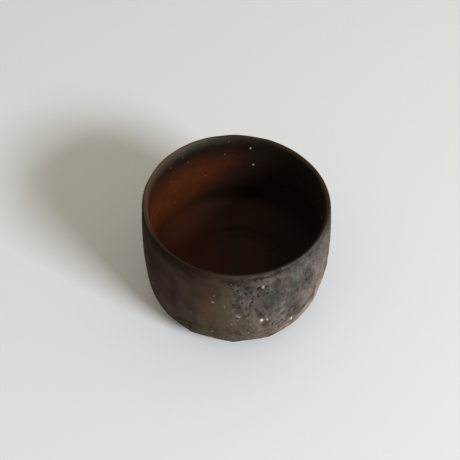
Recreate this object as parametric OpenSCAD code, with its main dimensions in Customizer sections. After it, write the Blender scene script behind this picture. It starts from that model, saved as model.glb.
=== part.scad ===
// Hand-thrown stoneware tea bowl: a clay body with a knife-pared heel on a luted foot ring,
// a slip lining, a crust of kiln ash over one side, and stones held in the clay.
// Millimetres. +Z is up, and the origin is on the table under the middle of the foot.
// A bearing is in degrees from the front (-Y), positive towards +X.

/* [Clay body] */
// Height of the lip above the table
bowl_h = 84; // [78:1:96]
// Widest diameter of the wall
belly_d = 121; // [116:1:132]
// Height of the widest place above the table
belly_z = 44; // [38:1:52]
// Outer diameter just under the lip
rim_d = 118; // [112:1:121]
// Outer diameter at the base, before the heel is pared
heel_d = 111; // [107:1:116]
// Thickness of the rounded lip
lip_t = 3; // [2.4:0.2:4]
// Wall thickness where the wall meets the inner corner
wall_t = 4.6; // [4:0.2:6]
// Thickness of the floor
floor_t = 7; // [5:0.5:9]
// Radius between the inner wall and the floor
corner_r = 18; // [12:1:24]

/* [Pared heel] */
// Number of knife facets around the heel
facet_count = 14; // [11:1:20]
// Distance across opposite facets at the base
facet_d = 100; // [94:1:104]
// Slope of a facet above the table
facet_slope = 53; // [45:1:62]
// Bearing of the middle of the first facet
facet_turn = 9.5; // [0:0.5:36]

/* [Foot ring] */
// Outer diameter on the table
foot_d = 62; // [50:1:72]
// Width of the ring on the table
foot_w = 7; // [5:0.5:10]
// Height of the base above the table
foot_h = 5; // [4.5:0.5:8]
// Widening of each flank from the table to the base
foot_draft = 1.5; // [0:0.25:3]
// Bevel on the two table edges
foot_bevel = 0.8; // [0.4:0.1:1.5]
// Depth of the seat that the ring is luted into
seat_depth = 1; // [0.5:0.25:2]
// Slip joint beside the ring in its seat
seat_clearance = 0.15; // [0.1:0.05:0.3]

/* [Slip lining] */
// Thickness of the lining
slip_t = 0.4; // [0.3:0.1:0.8]
// Bare clay between the lip's rounding and the lining
slip_drop = 1; // [0.5:0.5:6]

/* [Ash crust] */
// Thickness of the crust
crust_t = 0.4; // [0.3:0.1:0.6]
// Bare wall between the crust and the lip's rounding
crust_lip_gap = 1.5; // [0.5:0.5:6]
// Bare wall between the crust and the facets
crust_heel_gap = 1; // [0.5:0.5:6]

/* [Stones] */
// Diameter of a large stone outside
stone_d = 2.4; // [2:0.1:3]
// Diameter of a small stone outside
grit_d = 2; // [1.7:0.1:2.4]
// How far an outer stone stands out of the clay
stone_proud = 0.8; // [0.7:0.1:1]
// Diameter of a stone in the lining
inner_stone_d = 1.6; // [1.4:0.1:2]
// How far an inner stone stands out of the clay
inner_stone_proud = 0.7; // [0.5:0.1:0.9]

/* [Hidden] */

round_fn = 180;
stone_fn = 64;
wall_steps = 7;
lip_steps = 8;
corner_steps = 10;
// Overrun of a cutting shape past what it cuts
over = 1;

belly_r = belly_d / 2;
base_z = foot_h;
rim_z = bowl_h - lip_t / 2;
floor_z = base_z + floor_t;
corner_z = floor_z + corner_r;
rim_in_r = rim_d / 2 - lip_t;
wall_in_r = belly_r - wall_t;
slip_top_z = rim_z - slip_drop;
seat_z = base_z + seat_depth;

// A facet leaves the wall no higher than this, because the wall is never wider than the belly
facet_top_z = base_z + (belly_r - facet_d / 2) * tan(facet_slope);
facet_l = (facet_top_z - base_z) / sin(facet_slope) + over;
facet_half_w = belly_r * tan(180 / facet_count) + over;

foot_r = foot_d / 2;
foot_in_r = foot_r - foot_w;
foot_top_r = foot_r + foot_draft;
foot_top_in_r = foot_in_r - foot_draft;

// Each lobe of the crust: bearing, place up the wall from 0 at the base to 1 at the rim, radius
crust_lobes = [
    [4, 0.62, 10],
    [12, 0.4, 13],
    [18, 0.78, 15],
    [32, 0.5, 21],
    [44, 0.78, 17],
    [56, 0.44, 22],
    [74, 0.66, 22],
    [90, 0.42, 20],
    [104, 0.62, 16]
];

// Each outer stone: bearing, place up the wall, diameter
wall_stone_places = [
    [-14, 0.69, grit_d],
    [-7, 0.65, grit_d],
    [1, 0.52, stone_d],
    [14.5, 0.45, stone_d],
    [36, 0.27, stone_d],
    [15, 0.88, grit_d],
    [-15, 0.25, stone_d],
    [-62, 0.4, grit_d],
    [-96, 0.66, stone_d],
    [-131, 0.3, grit_d],
    [-164, 0.74, stone_d],
    [152, 0.46, grit_d],
    [118, 0.34, stone_d],
    [82, 0.7, grit_d]
];

// Each inner stone: bearing and height up the inner wall, from 0 at the corner to 1 at the rim
inner_stone_places = [
    [170, 0.86],
    [168, 0.56],
    [-172, 0.73],
    [-130, 0.86],
    [-145, 0.76],
    [-133, 0.39],
    [-158, 0.4],
    [96, 0.6],
    [20, 0.7],
    [-48, 0.5]
];

// Heights of the wall's rings, from the base by way of the belly to the rim
wall_z = concat(
    [for (i = [0 : wall_steps]) base_z + (belly_z - base_z) * i / wall_steps],
    [for (i = [1 : wall_steps]) belly_z + (rim_z - belly_z) * i / wall_steps]
);

// Height of a place up the wall, from 0 at the base to 1 at the rim
function up_wall(share) = base_z + share * (rim_z - base_z);

// Outer radius of the wall: full at the belly, drawn in towards the rim and the heel
function outer_r(z) =
    let (end_z = z > belly_z ? rim_z : base_z)
    let (end_r = z > belly_z ? rim_d / 2 : heel_d / 2)
    belly_r - (belly_r - end_r) * pow((z - belly_z) / (end_z - belly_z), 2);

// Inner radius of the wall above the corner
function inner_r(z) = wall_in_r + (rim_in_r - wall_in_r) * (z - corner_z) / (rim_z - corner_z);

function wall_path(proud) = [for (z = wall_z) [outer_r(z) + proud, z]];

function lip_path() = [
    for (i = [1 : lip_steps - 1])
        let (a = 180 * i / lip_steps)
        [rim_d / 2 - lip_t / 2 + lip_t / 2 * cos(a), rim_z + lip_t / 2 * sin(a)]
];

// Inside of the bowl from a height on the wall down to the middle of the floor
function inside_path(top_z, inset) = concat(
    [[inner_r(top_z) - inset, top_z]],
    [
        for (i = [0 : corner_steps])
            let (a = 90 * i / corner_steps)
            [
                wall_in_r - corner_r + (corner_r - inset) * cos(a),
                corner_z - (corner_r - inset) * sin(a)
            ]
    ],
    [[0, floor_z + inset]]
);

function reversed(path) = [for (i = [len(path) - 1 : -1 : 0]) path[i]];

// Turn a shape that lies along +X to a bearing
module to_bearing(bearing) {
    rotate([0, 0, bearing - 90]) children();
}

module turned(path) {
    rotate_extrude($fn = round_fn) polygon(path);
}

// The wall filled solid, grown outwards by an amount
module filled_wall(proud) {
    turned(concat(wall_path(proud), [[0, rim_z], [0, base_z]]));
}

// What the knife takes off the heel
module heel_cuts() {
    for (i = [0 : facet_count - 1])
        to_bearing(facet_turn + 360 * i / facet_count)
            translate([facet_d / 2, 0, base_z])
                rotate([0, -facet_slope, 0])
                    translate([-facet_l, -facet_half_w, -facet_l])
                        cube([2 * facet_l, 2 * facet_half_w, facet_l]);
}

module foot_seat() {
    turned([
        [foot_top_in_r - seat_clearance, base_z - over],
        [foot_top_r + seat_clearance, base_z - over],
        [foot_top_r + seat_clearance, seat_z],
        [foot_top_in_r - seat_clearance, seat_z]
    ]);
}

module bowl_body() {
    color([0.25, 0.2, 0.165])
        difference() {
            turned(concat(wall_path(0), lip_path(), inside_path(rim_z, 0), [[0, base_z]]));
            heel_cuts();
            foot_seat();
            outer_stones();
            lining_stones();
        }
}

module foot_ring() {
    color([0.33, 0.24, 0.18])
        turned([
            [foot_in_r + foot_bevel, 0],
            [foot_r - foot_bevel, 0],
            [foot_r, foot_bevel],
            [foot_top_r, base_z],
            [foot_top_r, seat_z],
            [foot_top_in_r, seat_z],
            [foot_top_in_r, base_z],
            [foot_in_r, foot_bevel]
        ]);
}

module inner_slip() {
    color([0.33, 0.16, 0.08])
        difference() {
            turned(concat(inside_path(slip_top_z, 0), reversed(inside_path(slip_top_z, slip_t))));
            lining_stones();
        }
}

// The band of wall between the lip and the facets that the crust may cover
module crust_band() {
    low_z = facet_top_z + crust_heel_gap;
    high_z = rim_z - crust_lip_gap;
    translate([0, 0, low_z])
        cylinder(h = high_z - low_z, r = belly_r + crust_t + over, $fn = round_fn);
}

module crust_outline() {
    for (lobe = crust_lobes)
        to_bearing(lobe[0])
            translate([belly_r / 2, 0, up_wall(lobe[1])])
                rotate([0, 90, 0])
                    cylinder(h = belly_r, r = lobe[2], $fn = round_fn);
}

module ash_crust() {
    color([0.4, 0.38, 0.36])
        difference() {
            intersection() {
                filled_wall(crust_t);
                crust_band();
                crust_outline();
            }
            filled_wall(0);
            outer_stones();
        }
}

module outer_stones() {
    for (place = wall_stone_places) {
        z = up_wall(place[1]);
        to_bearing(place[0])
            translate([outer_r(z) + stone_proud - place[2] / 2, 0, z])
                sphere(d = place[2], $fn = stone_fn);
    }
}

module lining_stones() {
    for (place = inner_stone_places) {
        z = corner_z + place[1] * (rim_z - corner_z);
        to_bearing(place[0])
            translate([inner_r(z) - inner_stone_proud + inner_stone_d / 2, 0, z])
                sphere(d = inner_stone_d, $fn = stone_fn);
    }
}

module wall_stones() {
    color([0.82, 0.79, 0.74]) outer_stones();
}

module inner_stones() {
    color([0.86, 0.83, 0.78]) lining_stones();
}

bowl_body();
foot_ring();
inner_slip();
ash_crust();
wall_stones();
inner_stones();
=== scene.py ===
import math
from itertools import product

import bmesh
import bpy
import numpy as np
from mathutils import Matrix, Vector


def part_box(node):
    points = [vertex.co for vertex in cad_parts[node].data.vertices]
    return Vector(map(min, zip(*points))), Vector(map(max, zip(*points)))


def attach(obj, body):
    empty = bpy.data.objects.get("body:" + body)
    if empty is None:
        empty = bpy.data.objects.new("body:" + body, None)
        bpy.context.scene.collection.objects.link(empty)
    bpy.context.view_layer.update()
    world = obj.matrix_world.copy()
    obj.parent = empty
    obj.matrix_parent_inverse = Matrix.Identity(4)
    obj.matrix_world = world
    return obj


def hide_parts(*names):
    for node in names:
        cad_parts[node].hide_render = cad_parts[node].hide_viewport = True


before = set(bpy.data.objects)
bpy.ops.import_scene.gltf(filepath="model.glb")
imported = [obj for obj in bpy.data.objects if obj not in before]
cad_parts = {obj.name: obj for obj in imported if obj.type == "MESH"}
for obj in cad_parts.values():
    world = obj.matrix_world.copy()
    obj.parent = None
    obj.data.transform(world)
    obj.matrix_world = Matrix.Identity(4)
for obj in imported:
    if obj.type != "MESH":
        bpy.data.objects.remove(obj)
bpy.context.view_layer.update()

MM = 0.001
BODY = "root"


def node_box(node):
    """Lowest and highest corner of a solid, in millimetres."""
    return [np.array(corner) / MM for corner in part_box(node)]


# Sizes read from the solids
BODY_LOW, BODY_HIGH = node_box("bowl_body")
FOOT_LOW, FOOT_HIGH = node_box("foot_ring")
BELLY_R = (BODY_HIGH[0] - BODY_LOW[0]) / 2
BASE_Z = BODY_LOW[2]
TOP_Z = BODY_HIGH[2]
FLOOR_Z = node_box("inner_slip")[0][2]
FOOT_TOP_R = (FOOT_HIGH[0] - FOOT_LOW[0]) / 2
SEAT_Z = FOOT_HIGH[2]

# The wall, lip and floor, as the solid has them
BELLY_Z = 44.0
RIM_R = 59.0
HEEL_R = 55.5
LIP_T = 3.0
WALL_T = 4.6
CORNER_R = 18.0
LIP_R = LIP_T / 2
RIM_Z = TOP_Z - LIP_R
RIM_IN_R = RIM_R - LIP_T
WALL_IN_R = BELLY_R - WALL_T
FLAT_R = WALL_IN_R - CORNER_R
CORNER_Z = FLOOR_Z + CORNER_R

# The knife's flats round the heel, and a chip in its edge
FACETS = 14
FACET_R = 50.0
FACET_SLOPE = 53.0
FACET_TURN = 9.5
FACET_BLEND = 0.3
CHIP_TURN = 23.0
CHIP_DEPTH = 0.9
# Where the knife cut shallower or deeper: bearing, half the width, how much further out
FACET_TRIMS = ((-56, 24, 1.5), (-16, 8, -0.4), (10, 8, 0.4), (56, 12, -1.2))

# The foot ring
FOOT_R = 31.0
FOOT_W = 7.0
FOOT_DRAFT = 1.5
FOOT_STEPS = 4
SEAT_GAP = 0.15
FOOT_IN_R = FOOT_R - FOOT_W
FOOT_MIDDLE_R = FOOT_R - FOOT_W / 2
FOOT_TOP_IN_R = FOOT_IN_R - FOOT_DRAFT
# Each flank of the foot from its worn table edge up: how far out, and the height
FOOT_FLANK = (
    (-1.2, 0.0), (-0.35, 0.3), (0.0, 1.0), (0.45 * FOOT_DRAFT, 2.6), (0.8 * FOOT_DRAFT, 4.0),
    (FOOT_DRAFT, BASE_Z), (FOOT_DRAFT, SEAT_Z),
)

# The lining, how far the clay stands back under it, and the rings that wind in over its floor
SLIP_T = 0.4
SLIP_BACK = 0.5
UNDER_SLIP = 0.7
CREST_START = 80
CREST_ROWS = 10
FLOOR_SPIRAL = 5.0
SPIRAL_START = -60
RIDGE_R = 23.0
GROOVE_R = 35.0
SMALL_GROOVE_R = 28.5
# Where the flame flashed the lining, its dark side partly painted shade whose edge follows the rim's cast
# shadow: the edge's bearing at the lip, its slant in degrees a millimetre, half its softness, and where its
# other end starts to fade and over how many degrees
FLASH_SHADE_TURN = 157.0
FLASH_SHADE_SLANT = 1.0
FLASH_SHADE_SOFT = 15
FLASH_SHADE_END = -60
FLASH_SHADE_END_WIDTH = 60

# The ash and its crust, whose grid has a step, a span of bearings and a lowest height over the base
ASH_LEFT = -3.5
ASH_RIGHT = 112.0
ASH_MIDDLE = 55.0
CRUST_T = 0.4
CRUST_STEP = 0.5
CRUST_ROOT = 1.2
CRUST_TURNS = (-14, 134)
CRUST_LOW = 8.5
CRUST_LEAST = -0.2
PIT_DEPTH = 0.9
# Each lobe of the crust: bearing, height, radius
ASH_LOBES = (
    (7, 68, 12), (12, 47, 13), (18, 70, 17), (34, 50, 22), (44, 72, 18),
    (58, 44, 24), (74, 58, 26), (92, 42, 20), (104, 56, 17),
)

# Marks in the clay wall
RING_RISE = 0.035
RING_PITCH = 6.5
LIP_GROOVE_DEPTH = 0.3
LIP_GROOVE_DROP = 1.9
PINHOLE_DEPTH = 0.35
FOLD_DEPTH = 0.8
BURR_RISE = 0.4
BURR_DROP = 2.0
BURST_DEPTH = 0.5
BURST_WIDEN = 1.25
BURST_HEIGHTEN = 1.7
# Where the wall swells or sinks: bearing, height, half the width, half the height, how far out
WALL_SWELLS = ((-68, 19, 26, 9, 1.1), (72, 24, 18, 8, -0.6), (46, 16, 8, 6, -0.9))
# Folds that the knife raised low on the left: bearing and height at the start and the end, half the width
KNIFE_FOLDS = ((-47, 18.5, -27, 26.5, 1.2), (-37, 16.5, -29, 20.5, 0.85), (-21.5, 28.2, -13.5, 27.0, 0.5))
# Hollows torn beside stones or left by bubbles of gas, darkened as painted shade: bearing, height, half the
# width, half the height
BURSTS = (
    (1.0, 43.4, 1.2, 0.8), (12.4, 72.9, 1.3, 1.2), (1.5, 54.5, 0.8, 1.0), (14.2, 45.7, 0.9, 1.0),
    (6.0, 74.0, 1.2, 1.1), (10.0, 80.2, 1.0, 0.7), (8.5, 59.5, 1.0, 1.0), (-3.5, 78.3, 1.2, 0.9),
    (3.0, 59.5, 0.8, 0.8), (17.5, 50.5, 0.8, 1.0), (-2.0, 57.5, 0.7, 0.8), (44.5, 60.5, 1.1, 1.0),
    (22.5, 29.0, 0.8, 0.9), (11.5, 51.5, 0.7, 0.8), (19.5, 42.0, 0.8, 0.9), (1.0, 71.5, 0.8, 0.9),
    (9.0, 62.5, 0.7, 0.8), (5.5, 53.0, 0.7, 0.8), (12.0, 65.0, 0.8, 0.8), (8.0, 57.0, 0.7, 0.7),
    (5.0, 69.0, 0.9, 0.8), (8.0, 69.5, 0.8, 0.8), (18.0, 65.5, 0.7, 0.8), (50.5, 73.0, 0.9, 0.8),
    (46.5, 30.0, 1.0, 0.9), (16.8, 72.2, 0.7, 1.1), (36.2, 28.0, 1.0, 0.9), (117, 29.3, 1.0, 0.9),
    (-96, 54.2, 1.0, 0.8),
)
# Crowds of bubbles in the ash: share that burst, bearing, half the width, height, half the height
PIT_CROWDS = ((0.16, 7, 10, 72, 5), (0.12, 6, 9, 56, 7), (0.16, 5, 9, 37, 9))
# Each size of bubble: distance apart, share of the crowd, seed
PIT_SIZES = ((4.8, 1.0, 72), (3.1, 0.65, 82))

# Each stone outside: bearing, share of the way up the wall, width, height, paleness
WALL_STONES = (
    (-14, 0.69, 2.6, 1.6, 0.2), (-7, 0.65, 1.3, 2.4, 0.15), (1, 0.525, 3.3, 1.6, 0.36),
    (14.5, 0.45, 3.1, 3.0, 1.0), (36, 0.265, 2.4, 2.6, 0.95), (15, 0.88, 2.2, 3.2, 0.5),
    (-15, 0.25, 2.4, 1.8, 0.1), (-62, 0.4, 2.0, 1.8, 0.0), (-96, 0.66, 2.6, 2.0, 0.5),
    (-131, 0.3, 2.0, 2.2, 0.5), (-164, 0.74, 2.6, 2.2, 0.4), (152, 0.46, 2.0, 2.2, 0.6),
    (118, 0.34, 2.8, 2.2, 0.7), (82, 0.7, 2.2, 2.0, 0.6),
)
# Smaller stones outside: bearing, height, width, height of the stone, paleness
WALL_GRIT = (
    (18.4, 38.3, 1.9, 2.0, 0.6), (-28, 40.5, 1.0, 1.4, 0.0), (-13, 65, 1.8, 1.4, 0.08),
    (-2.9, 37.4, 2.2, 2.0, 0.12), (10.1, 37.4, 1.6, 1.6, 0.1),
)
# Each stone inside: bearing, share of the way up from the corner, size, paleness
LINING_STONES = (
    (170, 0.86, 2.0, 0.55), (168, 0.56, 1.9, 0.55), (-172, 0.73, 1.8, 0.02), (-130, 0.86, 1.5, 0.02),
    (-145, 0.76, 1.7, 0.0), (-133, 0.39, 1.5, 0.02), (-158, 0.4, 1.9, 0.0), (96, 0.6, 1.5, 0.05),
    (20, 0.7, 1.6, 0.1), (-48, 0.5, 1.6, 0.1),
)
# Smaller stones inside: bearing, height, size, paleness
LINING_GRIT = (
    (-141, 77, 1.3, 0.03), (-131.6, 40.3, 1.7, 0.0), (-129, 62.5, 1.2, 0.0), (-175, 80, 1.4, 0.04),
)
WALL_SPECKS = 70
LINING_SPECKS = 30
STONE_FINENESS = 3
SPECK_FINENESS = 2
PEBBLE_CUTS = 7

# Fineness of the meshes, and the smallest ring round the axis of each
BODY_COLUMNS = 480
THIN_COLUMNS = 400
LIP_ROWS = 12
BODY_POLE_R = 0.6
SLIP_POLE_R = 0.5
# On a baked picture: the share of its run that a hidden ring gets, the least run, and the edge left bare
HIDDEN_SHARE = 0.05
LEAST_RUN = 0.001
UV_EDGE = 0.004

# Fixed noise

LEVEL = np.array([1.0, 1.0, 0.0])
# The ash ran down the wall a little as it melted, which drew its patches out
RUN_DOWN = (1.0, 1.0, 0.55)
GRANULE_SHARES = (1.0, 0.75)
HASH_START = 0x9E3779B1
HASH_FACTORS = (0x8DA6B343, 0xD8163841, 0xCB1AB31F)
HASH_ROUNDS = ((15, 0x2C1B3C6D), (12, 0x297A2D39))


def hashed(cell, seed):
    """A fixed number from 0 to 1 for each whole-number cell."""
    c = cell.astype(np.int64).astype(np.uint32)
    h = np.full(c.shape[:-1], seed * HASH_START % 2**32, np.uint32)
    for k, factor in enumerate(HASH_FACTORS[: c.shape[-1]]):
        h ^= c[..., k] * np.uint32(factor)
    for shift, factor in HASH_ROUNDS:
        h ^= h >> np.uint32(shift)
        h *= np.uint32(factor)
    h ^= h >> np.uint32(HASH_ROUNDS[0][0])
    return h / 2**32


def noise(p, size, seed):
    """Smooth noise from -1 to 1 with lumps of about this size."""
    q = p / size
    cell = np.floor(q)
    f = q - cell
    w = f * f * f * (f * (f * 6 - 15) + 10)
    total = 0
    for corner in product((0, 1), repeat=3):
        weight = np.prod(np.where(np.array(corner) == 1, w, 1 - w), axis=-1)
        total = total + weight * hashed(cell + np.array(corner), seed)
    return 2 * total - 1


def rough(p, size, octaves, seed):
    """Noise with finer and fainter layers on top."""
    return sum(noise(p, size / 2**i, seed + i) / 2**i for i in range(octaves))


def cells(p, size, seed):
    """Distance to the nearest scattered point, in millimetres, and that point's own fixed number."""
    q = p / size
    home = np.floor(q)
    best = np.full(q.shape[:-1], np.inf)
    number = np.zeros(q.shape[:-1])
    axes = p.shape[-1]
    for step in product((-1, 0, 1), repeat=axes):
        cell = home + np.array(step)
        point = cell + np.stack([hashed(cell, seed + k) for k in range(axes)], -1)
        gap = np.linalg.norm(q - point, axis=-1)
        near = gap < best
        best = np.where(near, gap, best)
        number = np.where(near, hashed(cell, seed + axes), number)
    return best * size, number


def ramp(x, low, high):
    """0 below low, 1 above high, smooth between."""
    t = np.clip((x - low) / (high - low), 0, 1)
    return t * t * (3 - 2 * t)


def hump(x, middle, width):
    """1 in the middle, fading to both sides."""
    return np.exp(-(((x - middle) / width) ** 2))


def soft_min(a, b, blend):
    """The lower of two values, rounded where they cross."""
    h = np.clip(0.5 + (b - a) / (2 * blend), 0, 1)
    return b + (a - b) * h - blend * h * (1 - h)


def turn_between(a, b):
    """Degrees from bearing b to bearing a, from -180 to 180."""
    return (a - b + 180) % 360 - 180


def round_from(bearing, at):
    """Millimetres round the belly from one bearing to another."""
    return np.radians(turn_between(bearing, at)) * BELLY_R


def arch(bearing, at, width):
    """1 at a bearing, fading over some degrees to both sides."""
    return hump(turn_between(bearing, at), 0, width)


def arc(bearing, at, full, gone):
    """1 up to some degrees from a bearing, and 0 past some more."""
    return 1 - ramp(np.abs(turn_between(bearing, at)), full, gone)


# The bowl's form


def bearings(columns):
    """Bearings of one ring's points, as a row."""
    return (np.arange(columns) * 360 / columns)[None, :]


def place(bearing, radius, z):
    """Points at a bearing, a radius and a height."""
    a = np.radians(bearing)
    return np.stack(np.broadcast_arrays(radius * np.sin(a), -radius * np.cos(a), z), -1)


def unrolled(bearing, z):
    """The wall laid flat: millimetres round the belly from the middle of the ash, and the height."""
    return np.stack(np.broadcast_arrays(round_from(bearing, ASH_MIDDLE), z), -1)


def turned_r(z):
    """Outer radius of the wall as it left the wheel."""
    end_z = np.where(z > BELLY_Z, RIM_Z, BASE_Z)
    end_r = np.where(z > BELLY_Z, RIM_R, HEEL_R)
    return BELLY_R - (BELLY_R - end_r) * ((z - BELLY_Z) / (end_z - BELLY_Z)) ** 2


def facet_r(bearing, z):
    """Radius that the knife left at the heel: flats that differ a little, as cut by hand."""
    draw = np.random.default_rng(5)
    best = np.full(np.broadcast(bearing, z).shape, np.inf)
    for i in range(FACETS):
        middle = FACET_TURN + 360 / FACETS * i + draw.uniform(-0.8, 0.8)
        slope = math.radians(FACET_SLOPE + draw.uniform(-2, 2))
        reach = FACET_R + draw.uniform(0.5, 1.1)
        for at, width, more in FACET_TRIMS:
            reach += more * arch(middle, at, width)
        off = np.radians(turn_between(bearing, middle))
        flat = (reach + (z - BASE_Z) / math.tan(slope)) / np.cos(np.clip(off, -1, 1))
        best = np.minimum(best, np.where(np.abs(off) < 1, flat, np.inf))
    return best


def rim_wave(bearing):
    """How far the lip rises or dips as it goes round."""
    back_left = 0.8 * arch(bearing, -130, 33)
    back_right = -0.5 * arch(bearing, 128, 40)
    front = 0.15 * np.cos(np.radians(3 * bearing + 40))
    return back_left + back_right + front + 0.16 * noise(place(bearing, RIM_R, 0), 10, 91)


def rim_lean(bearing):
    """How far the lip leans out or in as it goes round."""
    return 0.25 * np.sin(np.radians(2 * bearing + 30)) + 0.16 * noise(place(bearing, RIM_R, 0), 12, 92)


def lifted(bearing, z):
    """Height of a place once the lip's wave is added."""
    return z + rim_wave(bearing) * ramp(z, 40, RIM_Z)


def ash_zone(bearing, z):
    """How far fly ash has dressed the wall, from 0 to 1: hard-edged near the lip, soft below."""
    p = place(bearing, BELLY_R, z)
    low = 1 - ramp(z, 38, 62)
    left = round_from(bearing, ASH_LEFT) + 4.5 * low
    left = left + 1.8 * noise(p, 3.6, 13) + (1.4 + 4 * low) * noise(p, 11, 14)
    right = round_from(bearing, ASH_RIGHT) + 7 * noise(p, 13, 15)
    return ramp(left, -0.6 - 5 * low, 0.9 + 4.5 * low) * (1 - ramp(right, -12, 12))


def ash_depth(bearing, z):
    """Millimetres inside the edge of the ash crust, negative outside it."""
    inside = np.full(np.broadcast(bearing, z).shape, -np.inf)
    for at, height, radius in ASH_LOBES:
        inside = np.maximum(inside, radius - np.hypot(round_from(bearing, at), z - height))
    p = place(bearing, BELLY_R, z)
    inside = inside + 4.5 * noise(p, 9, 11) + 2.2 * noise(p, 3, 12)
    return np.minimum(inside, 8 * ash_zone(bearing, z) - 1.5)


def creases(bearing, z):
    """The folds that the knife raised low on the left, and the burrs under them, each from 0 to 1."""
    p = place(bearing, BELLY_R, z)
    turn = turn_between(bearing, 0)
    torn = ramp(noise(p, 2.4, 27), -0.4, 0.2)
    flecks = ramp(noise(p, 1.9, 28), -0.2, 0.4)
    fold, burr = 0, 0
    for start, low, end, high, width in KNIFE_FOLDS:
        along = np.clip((turn - start) / (end - start), 0, 1)
        line = low + (high - low) * along + 1.3 * noise(p * LEVEL, 5, 24) + 0.5 * noise(p * LEVEL, 1.7, 25)
        ends = ramp(along, 0, 0.25) * (1 - ramp(along, 0.8, 1))
        fold = np.maximum(fold, ends * torn * hump(z, line, width * (0.9 + 0.6 * noise(p, 4, 26))))
        burr = np.maximum(burr, ends * flecks * hump(z, line - BURR_DROP, 1.3))
    return fold, burr


def pits(bearing, z):
    """Burst bubbles in the ash and the pale froth round them, each from 0 to 1."""
    p = place(bearing, BELLY_R, z)
    flat = unrolled(bearing, z)
    crowd = 0
    for share, at, width, height, tall in PIT_CROWDS:
        crowd = crowd + share * arch(bearing, at, width) * hump(z, height, tall)
    crowd = crowd + 0.035 * arch(bearing, 40, 50)
    pit, froth = 0, 0
    for size, share, seed in PIT_SIZES:
        gap, number = cells(flat, size, seed)
        gap = gap + 0.5 * noise(p, 1.7, seed + 6)
        reach = size * (0.13 + 0.13 * hashed(np.floor(number * 997)[..., None], seed))
        here = number < share * crowd
        pit = np.maximum(pit, (1 - ramp(gap, 0.45 * reach, 1.25 * reach)) * here)
        broken = ramp(noise(p, 1.6, seed + 7), -0.1, 0.5)
        froth = np.maximum(froth, hump(gap, 1.6 * reach, 0.5 * reach) * here * broken)
    inside = ramp(ash_zone(bearing, z), 0.3, 0.8)
    return pit * inside, froth * (1 - pit) * inside


def bursts(bearing, z):
    """The torn hollows, from 0 to 1, with ragged edges."""
    p = place(bearing, BELLY_R, z)
    ragged = 1 + 0.5 * noise(p, 1.3, 29)
    aside, above = 0.8 * noise(p, 1.7, 33), 0.8 * noise(p, 1.7, 34)
    out = 0
    for at, height, width, tall in BURSTS:
        side = round_from(bearing, at) + aside
        dip = ragged * hump(side, 0, BURST_WIDEN * width) * hump(z + above, height, BURST_HEIGHTEN * tall)
        out = np.maximum(out, ramp(dip, 0.06, 0.85))
    return out


def lumps(bearing, z, calm=1.0):
    """Swellings of the ash, about -1 to 1, with granules on them."""
    gap, number = cells(unrolled(bearing, z) * GRANULE_SHARES, 1.7, 76)
    granule = np.clip(1 - (gap / 0.95) ** 2, 0, 1) * (number > 0.5)
    return calm * 0.75 * rough(place(bearing, BELLY_R, z) * RUN_DOWN, 4.8, 3, 71) + 0.55 * granule - 0.15


def wall_relief(bearing, z):
    """How far the clay stands out of the turned form."""
    p = place(bearing, BELLY_R, z)
    wobble = 0.3 * noise(p, 48, 1) + 0.16 * noise(p, 17, 2)
    wind = math.tau * (z / RING_PITCH + bearing / 360) + 1.5 * noise(p, 25, 5)
    rings = RING_RISE * np.sin(wind) * ramp(z, 18, 30)
    folds = 0.15 * noise(p * np.array([1, 1, 0.35]), 9, 3) * arch(bearing, -48, 45)
    grain = (0.05 + 0.08 * ash_zone(bearing, z)) * rough(p, 2.4, 3, 4)
    fainter = 0.25 + 0.75 * arch(bearing, -8, 30)
    groove = -LIP_GROOVE_DEPTH * hump(z, RIM_Z - LIP_GROOVE_DROP, 0.9) * fainter
    gap, number = cells(p, 7.5, 21)
    pinholes = -PINHOLE_DEPTH * (1 - ramp(gap, 0.2, 0.8)) * (number > 0.55)
    chip = -CHIP_DEPTH * arch(bearing, CHIP_TURN, 1.5) * hump(z, BASE_Z, 1.6)
    fold, burr = creases(bearing, z)
    swell = 0
    for at, height, width, tall, out in WALL_SWELLS:
        swell = swell + out * arch(bearing, at, width) * hump(z, height, tall)
    torn = BURR_RISE * burr - FOLD_DEPTH * fold - BURST_DEPTH * bursts(bearing, z)
    return wobble + rings + folds + grain + groove + pinholes + chip + swell + torn


def wall_r(bearing, z):
    """Outer radius of the clay wall, relief and facets included."""
    fade = 1 - ramp(z, RIM_Z - 1.5, RIM_Z)
    heel = soft_min(turned_r(z), facet_r(bearing, z), FACET_BLEND)
    return heel + wall_relief(bearing, z) * fade


def inner_r(z):
    """Inner radius of the clay, from the rim down the wall and round the corner to the floor."""
    wall = WALL_IN_R + (RIM_IN_R - WALL_IN_R) * (z - CORNER_Z) / (RIM_Z - CORNER_Z)
    drop = np.clip(CORNER_Z - z, 0, CORNER_R)
    corner = FLAT_R + np.sqrt(CORNER_R**2 - drop**2)
    return np.where(z > CORNER_Z, wall, corner)


# Meshes


def in_scene(data):
    """A new object, put in the scene under the name of its data."""
    made = bpy.data.objects.new(data.name, data)
    bpy.context.scene.collection.objects.link(made)
    return made


def add_piece(mesh, node, material):
    """Puts a mesh in the scene in place of a solid."""
    piece = in_scene(mesh)
    mesh.materials.append(material)
    mesh.polygons.foreach_set("use_smooth", np.ones(len(mesh.polygons), bool))
    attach(piece, BODY)
    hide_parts(node)


def new_mesh(name, points, faces, uv=None, masks=None):
    """A mesh with a mask per point, and a place on the baked picture for each corner of each face."""
    mesh = bpy.data.meshes.new(name)
    mesh.from_pydata(points * MM, [], faces)
    if uv is not None:
        layer = mesh.uv_layers.new(name="OFBake")
        edged = UV_EDGE + (1 - 2 * UV_EDGE) * uv
        layer.uv.foreach_set("vector", edged.astype(np.float32).ravel())
    for mask, values in (masks or {}).items():
        made = mesh.attributes.new(mask, "FLOAT", "POINT")
        made.data.foreach_set("value", values.astype(np.float32).ravel())
    mesh.validate()
    return mesh


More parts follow.
